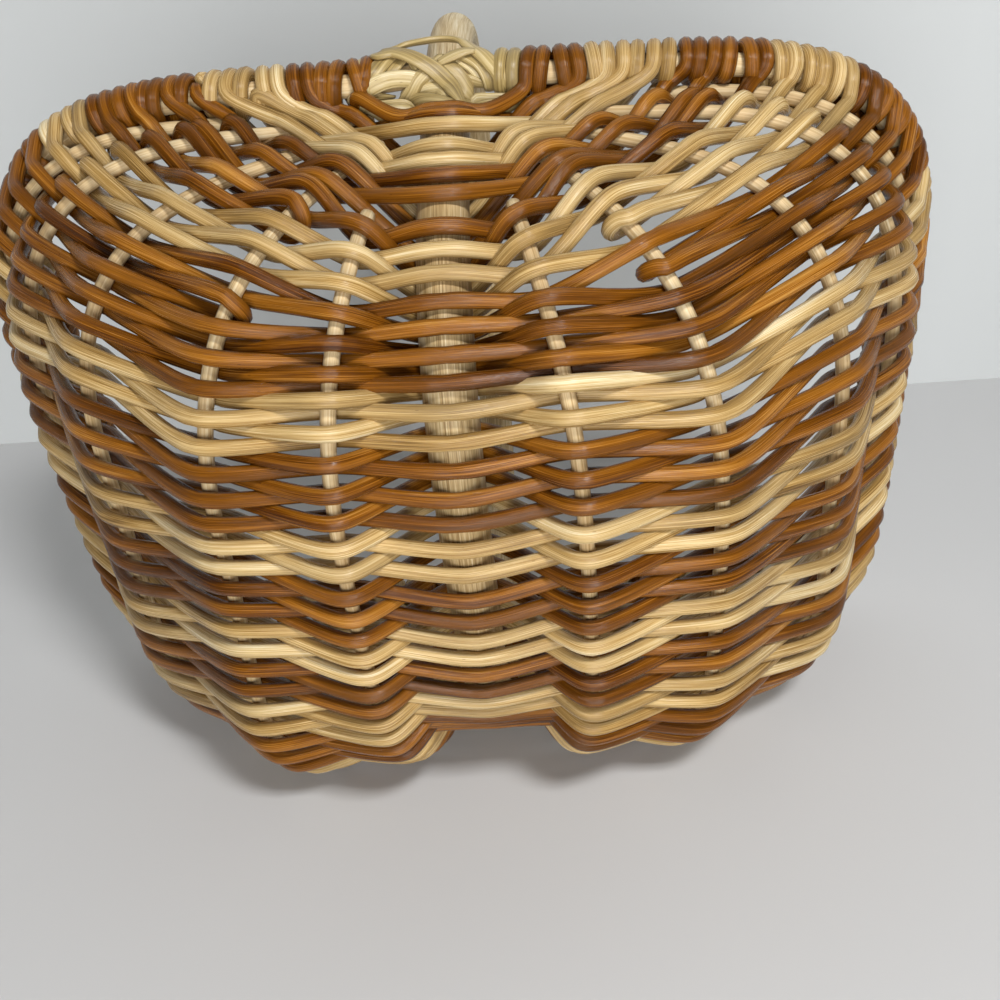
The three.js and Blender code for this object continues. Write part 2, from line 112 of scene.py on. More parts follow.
marks = [  # where rows begin along each guide: row and place
    dict(zip([0.5] + [row + 2.5 for row in range(0, 52, 2)], (
        23.2, 27, 33.6, 46, 54, 61.5, 70, 82.7, 90.6, 97.8, 105.9, 112.4, 119.6, 126.5, 133.9, 142, 149.9,
        159.2, 167.9, 177.9, 188.5, 200.3, 210.6, 221.3, 230.6, 240, 251))),
    {0: 18, 10: 62, 15.5: 88.4, 20: 112.5, 25.5: 135.7, 27.5: 142.9, 35.5: 181.1, 45.5: 233, 55.5: 284},
    dict(zip(markRows, (18, 54, 112.5, 171, 218, 266))),
    dict(zip(markRows, (20, 60.5, 120, 180, 245, 301))),
    dict(zip(markRows, (21, 67, 133, 199, 258, 312))),
    dict(zip(markRows, (23, 74, 140, 205, 262, 317))),
    dict(zip(markRows, (27, 80, 140, 205, 263, 320))),
]
bands = [
    ("brown", 4), ("pale", 6), ("brown", 6), ("pale", 4), ("brown", 7),
    ("pale", 4), ("brown", 6), ("pale", 4), ("brown", 5), ("pale", 4),
    ("brown", 4), ("pale", 4), ("brown", 5), ("pale", 4), ("brown", 4),
    ("pale", 4), ("brown", 4), ("pale", 4), ("brown", 3),
]
rowTotal = sum(count for _, count in bands)
joins = [0, 14, 6, 10, 2, 10]           # the row from either end at which each rib joins the weave
fillRows = {-1: [16, 22], 1: [19, 21]}  # rows before which a short row runs in and back
fillRib = 2
rim = 6
curveSteps = 240


def sideOf(k):
    return -1 if k < 0 else 1


def smoothStep(x):
    x = np.clip(x, 0, 1)
    return x * x * (3 - 2 * x)


def unit(v):
    return v / max(np.linalg.norm(v), 1e-12)


def lengthsAlong(points):
    steps = np.linalg.norm(np.diff(points, axis=0), axis=1)
    return np.concatenate([[0], np.cumsum(steps)])


def resample(points, count):
    along = lengthsAlong(points)
    wanted = np.linspace(0, along[-1], count + 1)
    return np.stack([np.interp(wanted, along, points[:, k]) for k in range(3)], axis=1)


# The basket has settled unevenly. For each guide: share of its length, millimetres outward and to the right.
settled = {
    -5: ((0.15, 0, 0), (0.4, 3.0, 0), (0.6, 3.5, 0), (0.9, 0, 0)),
    -4: ((0.04, 0, 0), (0.14, 0, -6), (0.3, 1, 0), (0.45, 4.5, 0), (0.62, 6, 0), (0.9, 0, 0)),
    -3: ((0.15, 0, 0), (0.32, 0, 5.5), (0.45, 0, 5.5), (0.62, 6, 0), (0.74, 6, 0), (0.93, 0, 0)),
    -2: ((0.15, 0, 0), (0.32, 0, 4.2), (0.45, 0, 4.2), (0.62, 5, 0), (0.74, 4, 0), (0.93, 0, 0)),
    3: ((0.5, 0, 0), (0.67, 5, 0), (0.78, 4, 0), (0.93, 0, 0)),
    4: ((0.5, 0, 0), (0.67, 2.5, 0), (0.9, 0, 0)),
    5: ((0.08, 0, 0), (0.25, -3, 0), (0.4, -4, 0), (0.52, -3.2, 0), (0.68, 0, 0)),
}
# The rim sags beside the front crossing, left and right: share of its length, millimetres downward.
rimSag = {
    -1: ((0, 0), (0.03, 3.5), (0.06, 6), (0.13, 4.5), (0.22, 2), (0.32, 0)),
    1: ((0, 0), (0.03, 4), (0.06, 7), (0.12, 7.5), (0.2, 6.5), (0.32, 3.5), (0.45, 0)),
}


def settle(k, points):
    share = np.linspace(0, 1, len(points))
    if abs(k) == rim:
        points[:, 2] -= np.interp(share, *zip(*rimSag[sideOf(k)]))
    if k not in settled:
        return points
    place, out, right = zip(*settled[k])
    kernel = np.hanning(25)
    kernel /= kernel.sum()
    out, right = (np.convolve(np.interp(share, place, v), kernel, "same") for v in (out, right))
    along = np.gradient(points, axis=0)
    along /= np.linalg.norm(along, axis=1)[:, None]
    away = points - np.array([0, 0, hoops["rimHeight"] - 20])
    away -= along * np.sum(away * along, axis=1)[:, None]
    away /= np.linalg.norm(away, axis=1)[:, None]
    across = np.cross(along, away)
    across *= np.sign(across[:, :1])
    return points + away * out[:, None] + across * right[:, None]


def frameCurve(index, side):
    angle, fan, reach, near, far = guides[index][:5]
    half = {0: hoops["poleHalfLength"], rim: hoops["rimHalfLength"]}.get(index, hoops["ribHalfLength"])
    x = np.linspace(0, 2, 401)
    u = np.where(x <= 1, x, 2 - x)
    t = math.pi / 2 * (u ** 3 / (u ** 3 + (1 - u) ** 3))
    a = np.where(x <= 1, near[0], far[0])
    b = np.where(x <= 1, near[1], far[1])
    cosine = np.maximum(np.cos(t), 0) ** a
    r = reach * np.sin(t) ** b
    blend = smoothStep((r + half * (1 - cosine)) / hoops["fanLength"])
    tip = (half - hoops["ribTipHalfLength"]) * (1 - blend) if 0 < index < rim else 0
    y = -np.sign(1 - x) * (half - tip) * cosine
    lean = np.radians(fan + (angle - fan) * blend)
    raw = np.stack([side * r * np.sin(lean), y, hoops["rimHeight"] - r * np.cos(lean)], axis=1)
    points = resample(raw, curveSteps)
    for _ in range(hoops["rounding"]):
        points[1:-1] = (points[:-2] + 2 * points[1:-1] + points[2:]) / 4
    return settle(index * side, points)


curves = {k: frameCurve(abs(k), sideOf(k)) for k in range(-rim, rim + 1)}
curveLength = {k: lengthsAlong(points)[-1] for k, points in curves.items()}


def at(k, s):
    f = min(max(s / curveLength[k], 0), 1) * curveSteps
    i = min(int(f), curveSteps - 1)
    return curves[k][i] + (curves[k][i + 1] - curves[k][i]) * (f - i)


def tangent(k, s):
    return unit(at(k, s + 3) - at(k, s - 3))


def outward(k, s):
    inner = at(-1, s) if k == 0 else at(k - sideOf(k), s)
    outer = at(1, s) if k == 0 else at(k if abs(k) == rim else k + sideOf(k), s)
    normal = unit(np.cross(tangent(k, s), outer - inner))
    away = at(k, s) - np.array([0, 0, hoops["rimHeight"] - 40])
    return -normal if normal @ away < 0 else normal


def ribRadius(k, s):
    if k == 0:
        return hoops["poleRadius"]
    inside = min(s, curveLength[k] - s) - ribs["taperFrom"]
    full = float(smoothStep(inside / ribs["taper"]))
    return ribs["tipRadius"] + (ribs["radius"] - ribs["tipRadius"]) * full


# Rows, as the CAD model lays them.
def sideOrder(row, side):
    return row + 2 * sum(1 for r in fillRows[side] if r <= row)


def counted(k, row):
    return row if abs(k) < fillRib else sideOrder(row, sideOf(k))


def rowPlace(k, order):
    table = marks[abs(k)]
    orders = [counted(k, row) for row in [*table, rowTotal]]
    places = [*table.values(), curveLength[k] - guides[abs(k)][5]]
    i = 0
    while i < len(orders) - 2 and order > orders[i + 1]:
        i += 1
    return places[i] + (places[i + 1] - places[i]) * (order - orders[i]) / (orders[i + 1] - orders[i])


def ribsOf(row):
    fromEnd = min(row, rowTotal - 1 - row)
    return [rib for rib in range(6) if fromEnd >= joins[rib]]


def isOutside(k, row, order):
    return (order + ribsOf(row).index(abs(k))) % 2 == 0


def crossing(k, row, order):
    s = rowPlace(k, order + 0.5) + random.uniform(-1, 1) * reed["wander"]
    pitch = rowPlace(k, order + 1) - rowPlace(k, order)
    sign = 1 if isOutside(k, row, order) else -1
    return {
        "k": k, "s": s, "normal": outward(k, s), "sign": sign, "centre": at(k, s), "radius": ribRadius(k, s),
        "pitch": pitch,
    }


def placeAt(c, step):
    return c["centre"] + c["across"] * step + c["normal"] * c["sign"] * c["offset"]


def addRun(path, run, direction=1):
    for i, c in enumerate(run):
        across = run[min(i + 1, len(run) - 1)]["centre"] - run[max(i - 1, 0)]["centre"]
        if len(run) == 1:
            across = np.array([direction, 0.0, 0.0])
        c["across"] = unit(across - c["normal"] * (across @ c["normal"]))
        apart = c["pitch"] * np.linalg.norm(np.cross(c["across"], tangent(c["k"], c["s"])))
        c["dip"] = min(max(reed["radius"] - apart / 2 - reed["rowGap"], 0), reed["radius"] - reed["least"])
        c["offset"] = c["radius"] + reed["radius"] + reed["clearance"]
    for c in run:
        steps = [reed["poleStep"] if c["k"] == 0 else reed["ribStep"]]
        if len(run) == 1:
            steps.append(reed["loneStep"])
        for step, drop in [(-step, drop) for step, drop in steps[::-1]] + steps:
            path.append((placeAt(c, step) - c["normal"] * c["sign"] * drop, c["dip"], c))


# The turns round the rim from one row to the next. The reed goes over the rim twice, evenly spaced.
def addRimTurn(path, side, order, fromOutside, toOutside,
               before=rimTurn["share"], after=rimTurn["share"], part=(0, 1)):
    k = side * rim
    sweep = rimTurn["sameSide"] if fromOutside == toOutside else rimTurn["otherSide"]
    steps = sweep // rimTurn["step"]
    tops, topRows = zip(*rimTurn["tops"])
    tops = (0, *(top / sweep for top in tops), 1)
    topRows = (0.5 - before, *topRows, 1.5 + after)
    for i in range(round(steps * part[0]), round(steps * part[1]) + 1):
        s = rowPlace(k, order + np.interp(i / steps, tops, topRows))
        turned = sweep * i / steps - rimTurn["lean"]
        turn = turned if fromOutside else 180 - turned
        along = tangent(k, s)
        up = at(k, s) - at(k - side, s)
        up = unit(up - along * (up @ along))
        out = unit(np.cross(along, up))
        if out @ (at(k, s) - np.array([0, 0, hoops["rimHeight"]])) < 0:
            out = -out
        radial = out * math.cos(math.radians(turn)) + up * math.sin(math.radians(turn))
        path.append((at(k, s) + radial * rimTurn["radius"], 0))


def addRibTurn(path, side, row, order):
    k = side * fillRib
    s0 = rowPlace(k, order + 0.5)
    s1 = rowPlace(k, order + 1.5)
    start = 1 if isOutside(k, row, order) else -1
    steps = 6
    for i in range(1, steps):
        angle = math.pi * i / steps
        s = s0 + (s1 - s0) * i / steps
        normal = outward(k, s)
        inward = at(k - side, s) - at(k, s)
        inward = unit(inward - normal * (inward @ normal))
        radial = normal * start * math.cos(angle) + inward * math.sin(angle)
        path.append((at(k, s) + radial * (ribRadius(k, s) + reed["radius"] + reed["turnGap"]), 0))


def addFill(path, side, row, order):
    there = [crossing(side * rib, row, order) for rib in (5, 4, 3, 2)]
    back = [crossing(side * rib, row, order + 1) for rib in (2, 3, 4, 5)]
    addRun(path, there)
    addRibTurn(path, side, row, order)
    addRun(path, back)
    addRimTurn(path, side, order + 1, back[3]["sign"] > 0, back[3]["sign"] < 0)


def lastRibOutside(row, side):
    rib = ribsOf(row)[-1]
    return isOutside(side * rib, row, counted(side * rib, row))


def turnAfter(path, row, part=(0, 1)):
    side = 1 if row % 2 == 0 else -1
    leaving = lastRibOutside(row, side)
    arriving = lastRibOutside(row + 1, side) if row + 1 < rowTotal else not leaving
    filled = row + 1 in fillRows[side]
    before = rimTurn["share"] if ribsOf(row) == ribsOf(row - 1) else 0
    after = rimTurn["share"] if ribsOf(row + 1) == ribsOf(row + 2) else 0
    order = sideOrder(row, side)
    addRimTurn(path, side, order, leaving, (not leaving) if filled else arriving, before, after, part)
    if filled and part[0] == 0:
        addFill(path, side, row + 1, order + 1)


# The points that a band's reed passes: place, how far it narrows, and its crossing where it has one.
def bandPath(firstRow, rows):
    path = []
    if firstRow == 0:
        addRimTurn(path, -1, -1, True, lastRibOutside(0, -1), *rimTurn["first"])
    elif firstRow not in fillRows[-1] + fillRows[1]:
        turnAfter(path, firstRow - 1, (reed["takeUpAt"], 1))
    for row in range(firstRow, firstRow + rows):
        direction = 1 if row % 2 == 0 else -1
        order = ribsOf(row)
        run = [crossing(k, row, counted(k, row)) for k in
               [-rib * direction for rib in order[:0:-1]] + [rib * direction for rib in order]]
        addRun(path, run, direction)
        lastOfBand = row == firstRow + rows - 1 and row < rowTotal - 1
        turnAfter(path, row, (0, reed["leaveAt"] if lastOfBand else 1))
    return path


# Curves through the points, and the strands that follow them.
def smoothPath(points, spacing):
    points = np.asarray(points, float)
    last = len(points) - 1
    out, places = [], []
    for i in range(last):
        p1, p2 = points[i], points[i + 1]
        p0 = points[i - 1] if i else 2 * p1 - p2
        p3 = points[i + 2] if i + 1 < last else 2 * p2 - p1
        t1 = np.linalg.norm(p1 - p0) ** 0.5
        t2 = t1 + np.linalg.norm(p2 - p1) ** 0.5
        t3 = t2 + np.linalg.norm(p3 - p2) ** 0.5
        steps = max(2, math.ceil(np.linalg.norm(p2 - p1) / spacing))
        t = (t1 + (t2 - t1) * np.arange(steps) / steps)[:, None]
        a1 = (t1 - t) / t1 * p0 + t / t1 * p1
        a2 = (t2 - t) / (t2 - t1) * p1 + (t - t1) / (t2 - t1) * p2
        a3 = (t3 - t) / (t3 - t2) * p2 + (t - t2) / (t3 - t2) * p3
        b1 = (t2 - t) / t2 * a1 + t / t2 * a2
        b2 = (t3 - t) / (t3 - t1) * a2 + (t - t1) / (t3 - t1) * a3
        out.append((t2 - t) / (t2 - t1) * b1 + (t - t1) / (t2 - t1) * b2)
        places.append(i + np.arange(steps) / steps)
    return np.concatenate([*out, points[-1:]]), np.concatenate([*places, [last]])


# Where a reed would cut into a rib or the pole, it is moved out to lie on it.
def ribSpan(k):
    start = rowPlace(k, counted(k, joins[abs(k)]) - 0.6)
    return start, rowPlace(k, counted(k, rowTotal - 1 - joins[abs(k)]) + 1.3)


rods = []
for k in range(-5, 6):
    rodPlaces = np.linspace(*ribSpan(k), 200)
    rods.append([np.array([measure(k, s) for s in rodPlaces]) for measure in (at, tangent, ribRadius)])


def restOnRods(line, radii, passes=4):
    for n in range(passes):
        for axis, along, thick in rods:
            near = np.argmin(((line[:, None] - axis[None]) ** 2).sum(2), axis=1)
            away = line - axis[near]
            away -= along[near] * np.sum(away * along[near], axis=1)[:, None]
            far = np.linalg.norm(away, axis=1)
            need = thick[near] + radii + reed["clearance"]
            short = (far < need) & (near > 0) & (near < len(axis) - 1)
            line[short] += away[short] * ((need - far) / np.maximum(far, 1e-6))[short][:, None]
        if n < passes - 1:
            line[1:-1] = (line[:-2] + 2 * line[1:-1] + line[2:]) / 4
    return line


# Between two ribs a reed bows out, as it keeps the direction in which it passes each of them.
def bowOut(line, places, path):
    for i, (leaving, arriving) in enumerate(zip(path, path[1:])):
        if len(leaving) < 3 or len(arriving) < 3 or leaving[2] is arriving[2]:
            continue
        chord = arriving[2]["centre"] - leaving[2]["centre"]
        start, end = (reed["bow"][abs(c["k"])] * (c["across"] * np.linalg.norm(chord) - chord)
                      for c in (leaving[2], arriving[2]))
        span = np.floor(places) == i
        t = (places[span] - i)[:, None]
        line[span] += t * (1 - t) ** 2 * start - t ** 2 * (1 - t) * end
    return line


def selectOnly(piece):
    bpy.ops.object.select_all(action="DESELECT")
    piece.select_set(True)
    bpy.context.view_layer.objects.active = piece


# A round strand along a line. Its map runs along it in metres.
def makeReed(name, line, sides, radii, closed=False, lengthOffset=0.0):
    curve = bpy.data.curves.new(name, "CURVE")
    curve.dimensions = "3D"
    curve.bevel_depth = mm
    curve.bevel_resolution = sides // 2 - 2
    curve.use_fill_caps = True
    curve.twist_mode = "MINIMUM"
    spline = curve.splines.new("POLY")
    spline.points.add(len(line) - 1)
    spline.points.foreach_set("co", np.hstack([line * mm, np.ones((len(line), 1))]).ravel())
    spline.points.foreach_set("radius", radii)
    spline.use_cyclic_u = closed
    piece = bpy.data.objects.new(name, curve)
    bpy.context.scene.collection.objects.link(piece)
    selectOnly(piece)
    bpy.ops.object.convert(target="MESH")
    piece = bpy.context.view_layer.objects.active
    mesh = piece.data
    uv = np.empty(len(mesh.loops) * 2)
    mesh.uv_layers.active.data.foreach_get("uv", uv)
    uv = uv.reshape(-1, 2)
    along = lengthsAlong(np.vstack([line, line[:1]]) if closed else line)
    uv[:, 0] = np.interp(uv[:, 0] * (len(along) - 1), np.arange(len(along)), along) * mm + lengthOffset
    mesh.uv_layers.active.data.foreach_set("uv", uv.ravel())
    bpy.ops.object.mode_set(mode="EDIT")
    bpy.ops.mesh.select_all(action="SELECT")
    bpy.ops.mesh.remove_doubles(threshold=0.00001)
    bpy.ops.mesh.normals_make_consistent(inside=False)
    bpy.ops.object.mode_set(mode="OBJECT")
    bpy.ops.object.shade_smooth()
    return piece


def unevenRadius(count, radius, swell, period=34):
    knots = [random.uniform(-1, 1) for _ in range(count // period + 3)]
    x = np.arange(count) / period
    i = x.astype(int)
    f = smoothStep(x - i)
    knots = np.array(knots)
    return radius * (1 + swell * (knots[i] * (1 - f) + knots[i + 1] * f))


def finishPiece(piece, material, node):
    piece.data.materials.clear()
    piece.data.materials.append(material)
    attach(piece, "root")
    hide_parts(node)


# Materials. Each reads the strand's own map: metres along it, and once round it.
def startMaterial(name):
    material = bpy.data.materials.new(name)
    material.use_nodes = True
    tree = material.node_tree
    tree.nodes.clear()
    output = tree.nodes.new("ShaderNodeOutputMaterial")
    shader = tree.nodes.new("ShaderNodeBsdfPrincipled")
    tree.links.new(shader.outputs[0], output.inputs[0])
    return material, tree, shader


def mathNode(tree, operation, first, second=None, third=None, clamp=False):
    node = tree.nodes.new("ShaderNodeMath")
    node.operation = operation
    node.use_clamp = clamp
    for i, value in enumerate((first, second, third)):
        if value is None:
            continue
        if isinstance(value, (int, float)):
            node.inputs[i].default_value = value
        else:
            tree.links.new(value, node.inputs[i])
    return node.outputs[0]


def strandVector(tree, alongScale, roundScale, shift):
    uvMap = tree.nodes.new("ShaderNodeUVMap")
    uvMap.uv_map = "UVMap"
    split = tree.nodes.new("ShaderNodeSeparateXYZ")
    tree.links.new(uvMap.outputs[0], split.inputs[0])
    angle = mathNode(tree, "MULTIPLY", split.outputs[1], 2 * math.pi)
    join = tree.nodes.new("ShaderNodeCombineXYZ")
    tree.links.new(mathNode(tree, "MULTIPLY_ADD", split.outputs[0], alongScale, shift), join.inputs[0])
    tree.links.new(mathNode(tree, "MULTIPLY", mathNode(tree, "COSINE", angle), roundScale), join.inputs[1])
    tree.links.new(mathNode(tree, "MULTIPLY", mathNode(tree, "SINE", angle), roundScale), join.inputs[2])
    return join.outputs[0]


def noiseNode(tree, vector, scale, detail, roughness=0.5):
    node = tree.nodes.new("ShaderNodeTexNoise")
    node.inputs["Scale"].default_value = scale
    node.inputs["Detail"].default_value = detail
    node.inputs["Roughness"].default_value = roughness
    tree.links.new(vector, node.inputs["Vector"])
    return node.outputs[0]


def rampNode(tree, factor, stops):
    node = tree.nodes.new("ShaderNodeValToRGB")
    ramp = node.color_ramp
    while len(ramp.elements) < len(stops):
        ramp.elements.new(0.5)
    for element, (place, colour) in zip(ramp.elements, stops):
        element.position = place
        element.color = (*colour, 1)
    tree.links.new(factor, node.inputs[0])
    return node.outputs[0]


def mixColour(tree, factor, first, second):
    node = tree.nodes.new("ShaderNodeMix")
    node.data_type = "RGBA"
    for socket, value in ((node.inputs[0], factor), (node.inputs[6], first), (node.inputs[7], second)):
        if isinstance(value, tuple):
            socket.default_value = (*value, 1)
        else:
            tree.links.new(value, socket)
    return node.outputs[2]


def linear(hexColour):
    parts = [int(hexColour[i:i + 2], 16) / 255 for i in (0, 2, 4)]
    return tuple(c / 12.92 if c <= 0.04045 else ((c + 0.055) / 1.055) ** 2.4 for c in parts)


# Four tones from dark to light, then how much each layer of the pattern counts.
looks = {
    "brownReed": {
        "tones": ("1f0c01", "552c03", "8f5813", "cc9648"), "speck": "2c1306", "cast": "965f1a",
        "broad": 0.5, "fine": 1.0, "drift": 1.2, "fibres": 12.0, "stretch": 1.3,
        "roughness": (0.12, 0.36), "bump": 1.0, "shine": 0.28,
    },
    "paleReed": {
        "tones": ("5c4018", "a58146", "d2b37a", "f7ebc6"), "speck": "5d3d17", "cast": "a8946a",
        "broad": 0.5, "fine": 1.05, "drift": 1.2, "fibres": 12.0, "stretch": 1.3,
        "roughness": (0.14, 0.38), "bump": 1.0, "shine": 0.35,
    },
    "flatCane": {
        "tones": ("6a5730", "a38c57", "c2ac78", "e6d8b0"), "speck": "5d3d17", "cast": "a8946a",
        "broad": 0.5, "fine": 1.05, "drift": 1.2, "fibres": 4.0, "stretch": 1.2,
        "roughness": (0.28, 0.4), "bump": 1.0, "shine": 0.45,
    },
    "ribReed": {
        "tones": ("9a7c4c", "c8ac7e", "dec89c", "f0e4c4"), "speck": "7a5a2c", "cast": "c8a878",
        "broad": 0.5, "fine": 1.1, "drift": 0.5, "fibres": 4.5, "stretch": 0.7,
        "roughness": (0.5, 0.66), "bump": 0.5, "shine": 0.4,
    },
    "poleRattan": {
        "tones": ("755a30", "b89c6c", "d8c498", "f2e8ce"), "speck": "6b4d25", "cast": "c0a070",
        "broad": 0.6, "fine": 1.3, "drift": 0.5, "fibres": 17.0, "stretch": 1.6,
        "roughness": (0.45, 0.62), "bump": 0.6, "shine": 0.4,
    },
}

# Each layer of the pattern: how it lies along and round the strand and where it starts, then its noise.
layers = {
    "broad": {"along": 14, "round": 1.0, "start": 0, "scale": 1.6, "detail": 2, "roughness": 0.5},
    "fine": {"along": 4, "round": 1.0, "start": 3, "scale": 1.0, "detail": 3, "roughness": 0.62},
    "drift": {"along": 2.6, "round": 0.08, "start": 9, "scale": 1.7, "detail": 3, "roughness": 0.6},
    "patches": {"along": 5.0, "round": 0.1, "start": 21, "scale": 1.3, "detail": 1, "roughness": 0.5},
}
tonePlaces = (0.16, 0.42, 0.62, 0.88)
castPatches = {"gain": 2.4, "offset": -0.9, "share": 0.5}
specks = {"along": 90, "round": 1.5, "start": 5, "size": 0.055, "share": 0.6}
bumpDepth = 0.25 * mm


def layerNode(tree, name, stretch=1.0, fibres=1.0):
    layer = layers[name]
    vector = strandVector(tree, layer["along"] / stretch, layer["round"], layer["start"])
    return noiseNode(tree, vector, layer["scale"] * fibres, layer["detail"], layer["roughness"])


def strandMaterial(name, look):
    material, tree, shader = startMaterial(name)
    broad = layerNode(tree, "broad", look["stretch"])
    fine = layerNode(tree, "fine", look["stretch"], look["fibres"])
    drift = layerNode(tree, "drift")
    total = 0.5
    for pattern, layer in (("broad", broad), ("fine", fine), ("drift", drift)):
        centred = mathNode(tree, "SUBTRACT", layer, 0.5)
        total = mathNode(tree, "MULTIPLY_ADD", centred, look[pattern], total, clamp=pattern == "drift")
    colour = rampNode(tree, total, list(zip(tonePlaces, map(linear, look["tones"]))))
    patches = layerNode(tree, "patches")
    share = mathNode(tree, "MULTIPLY_ADD", patches, castPatches["gain"], castPatches["offset"], clamp=True)
    share = mathNode(tree, "MULTIPLY", share, castPatches["share"])
    colour = mixColour(tree, share, colour, linear(look["cast"]))
    cells = tree.nodes.new("ShaderNodeTexVoronoi")
    cells.inputs["Scale"].default_value = 1.0
    vector = strandVector(tree, specks["along"], specks["round"], specks["start"])
    tree.links.new(vector, cells.inputs["Vector"])
    speck = mathNode(tree, "LESS_THAN", cells.outputs["Distance"], specks["size"])
    share = mathNode(tree, "MULTIPLY", speck, specks["share"])
    colour = mixColour(tree, share, colour, linear(look["speck"]))
    tree.links.new(colour, shader.inputs["Base Color"])
    low, high = look["roughness"]
    tree.links.new(mathNode(tree, "MULTIPLY_ADD", fine, high - low, low), shader.inputs["Roughness"])
    shader.inputs["Specular IOR Level"].default_value = look["shine"]
    bump = tree.nodes.new("ShaderNodeBump")
    bump.inputs["Strength"].default_value = look["bump"]
    bump.inputs["Distance"].default_value = bumpDepth
    tree.links.new(mathNode(tree, "MULTIPLY_ADD", broad, 0.5, fine), bump.inputs["Height"])
    tree.links.new(bump.outputs[0], shader.inputs["Normal"])
    return material


materials = {name: strandMaterial(name, look) for name, look in looks.items()}
print("stage: materials made")


strandSides = {"reed": 10, "rib": 12, "rim": 14, "pole": 28}
mapStep = {"reed": 7.3, "rib": 3.1, "cane": 1.7}    # so that no two strands carry the same stretch of pattern

# The weaving: one unbroken reed for each colour band.
firstRow = 0
for number, (tone, rows) in enumerate(bands, 1):
    path = bandPath(firstRow, rows)
    line, places = smoothPath([stop[0] for stop in path], reed["spacing"])
    line = bowOut(line, places, path)
    span = np.minimum(places.astype(int), len(path) - 2)
    dips = np.array([stop[1] for stop in path])
    dip = (dips[span] + dips[span + 1]) / 2 * np.sin(math.pi * (places - span)) ** 2
    thick = reed["radius"] + random.uniform(-reed["spread"], reed["spread"])
    radii = unevenRadius(len(line), thick, reed["swell"]) - dip * reed["dipShare"]
    line = restOnRods(line, radii)
    radii[:3] *= reed["endTaper"]
    radii[-3:] *= reed["endTaper"][::-1]
    offset = mapStep["reed"] * number
    piece = makeReed(f"{tone}Reed{number:02d}", line, strandSides["reed"], radii, lengthOffset=offset)
    finishPiece(piece, materials[tone + "Reed"], f"weave_{tone}_{number:02d}")
    firstRow += rows
print("stage: weaving done")


# Ribs, with their tips running on into the lashing.
for side, word in ((-1, "left"), (1, "right")):
    for number in range(1, 6):
        k = side * number
        places = np.linspace(*ribSpan(k), 130)
        line = np.array([at(k, s) for s in places])
        radii = np.array([ribRadius(k, s) for s in places])
        offset = mapStep["rib"] * k
        piece = makeReed(f"{word}Rib{number}", line, strandSides["rib"], radii, lengthOffset=offset)
        finishPiece(piece, materials["ribReed"], f"rib_{word}_{number}")

# The rim hoop and the handle hoop, closed rings.
rightRim = [at(rim, s) for s in np.linspace(0, curveLength[rim], 160)]
leftRim = [at(-rim, s) for s in np.linspace(curveLength[-rim], 0, 160)][1:-1]
line = np.array(rightRim + leftRim)
piece = makeReed("rimHoop", line, strandSides["rim"], np.full(len(line), hoops["rimRadius"]), closed=True)
finishPiece(piece, materials["ribReed"], "rim_hoop")

arch = []
for t in np.linspace(0, math.pi, 161):
    run, rise = (abs(share) ** hoops["archSquareness"] for share in (math.cos(t), max(math.sin(t), 0)))
    arch.append([0, math.copysign(hoops["poleHalfLength"] * run, math.cos(t)),
                 hoops["rimHeight"] + hoops["archHeight"] * rise])
arch = list(resample(np.array(arch), 120))
spine = [at(0, s) for s in np.linspace(0, curveLength[0], 160)][1:-1]
line = np.array(spine + arch)
swell = {"share": 0.012, "period": 20}
radii = unevenRadius(len(line), hoops["poleRadius"], swell["share"], swell["period"])
closing = radii[-swell["period"]:]       # the pole ends as thick as it begins
closing[:] = closing[0] + (radii[0] - closing[0]) * np.linspace(0, 1, len(closing))
piece = makeReed("handleHoop", line, strandSides["pole"], radii, closed=True)
finishPiece(piece, materials["poleRattan"], "handle_hoop")
print("stage: hoops and ribs done")


# The lashings are flat cane, each strand a ribbon with soft edges that follows points and faces outward.
lashing = {
    "thickness": 2.2, "broader": 1.28, "spacing": 1.3, "rounding": 6, "sides": 12,
    "edge": (0.85, 0.9),    # how full the section is, across its thickness and its width
    "tip": (0.5, 0.6),      # what is left of the thickness and the width at an end
    "endTaper": 5, "turnSize": 4.6, "turnPress": 0.3, "turnSteps": 36,
}


def fuller(value, power):
    return math.copysign(abs(value) ** power, value)


